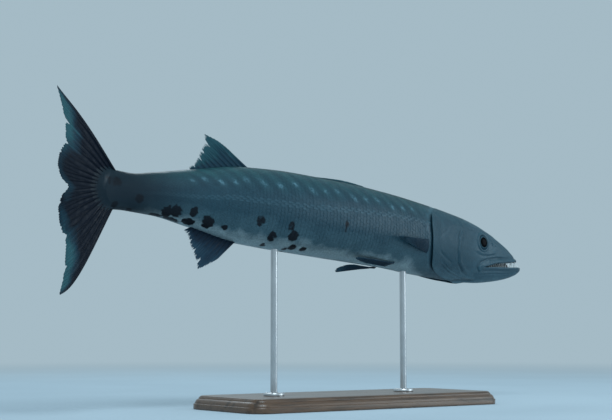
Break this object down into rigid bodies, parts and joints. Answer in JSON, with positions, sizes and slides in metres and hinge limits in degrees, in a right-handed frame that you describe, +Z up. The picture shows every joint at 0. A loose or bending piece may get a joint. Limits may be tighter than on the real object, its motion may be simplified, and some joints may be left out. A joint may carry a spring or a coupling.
{
  "type": "barracuda display model",
  "caption": "Life-size great barracuda with open jaws, frayed median fins and a forked tail, banked on a flat base with short steel rods.",
  "frame": {"origin": "middle of the whole model's bounding box at its lowest side, which is the underside of the base", "axes": "+X towards the fish's head and along its length, +Z up, so +Y is on the fish's left"},
  "size_m": [1.0116, 0.2, 0.4827],
  "materials": {
    "skin": "scaled grey-green skin with a silvery flank, pale belly and black blotches",
    "fin": "dark rayed fin membrane",
    "eye": "wet glossy eye",
    "base": "dark satin wood",
    "rod": "brushed steel rod"
  },
  "bodies": {
    "root": {"head": "skin", "lower_jaw": "skin", "eye_left": "eye", "eye_right": "eye", "trunk": "skin", "tail_stalk": "skin", "tail_fin": "fin", "dorsal_fin_first": "fin", "dorsal_fin_second": "fin", "anal_fin": "fin", "pectoral_fin_left": "fin", "pectoral_fin_right": "fin", "pelvic_fin_left": "fin", "pelvic_fin_right": "fin", "stand_base": "base", "stand_rod_front": "rod", "stand_rod_rear": "rod"}
  },
  "joints": []
}
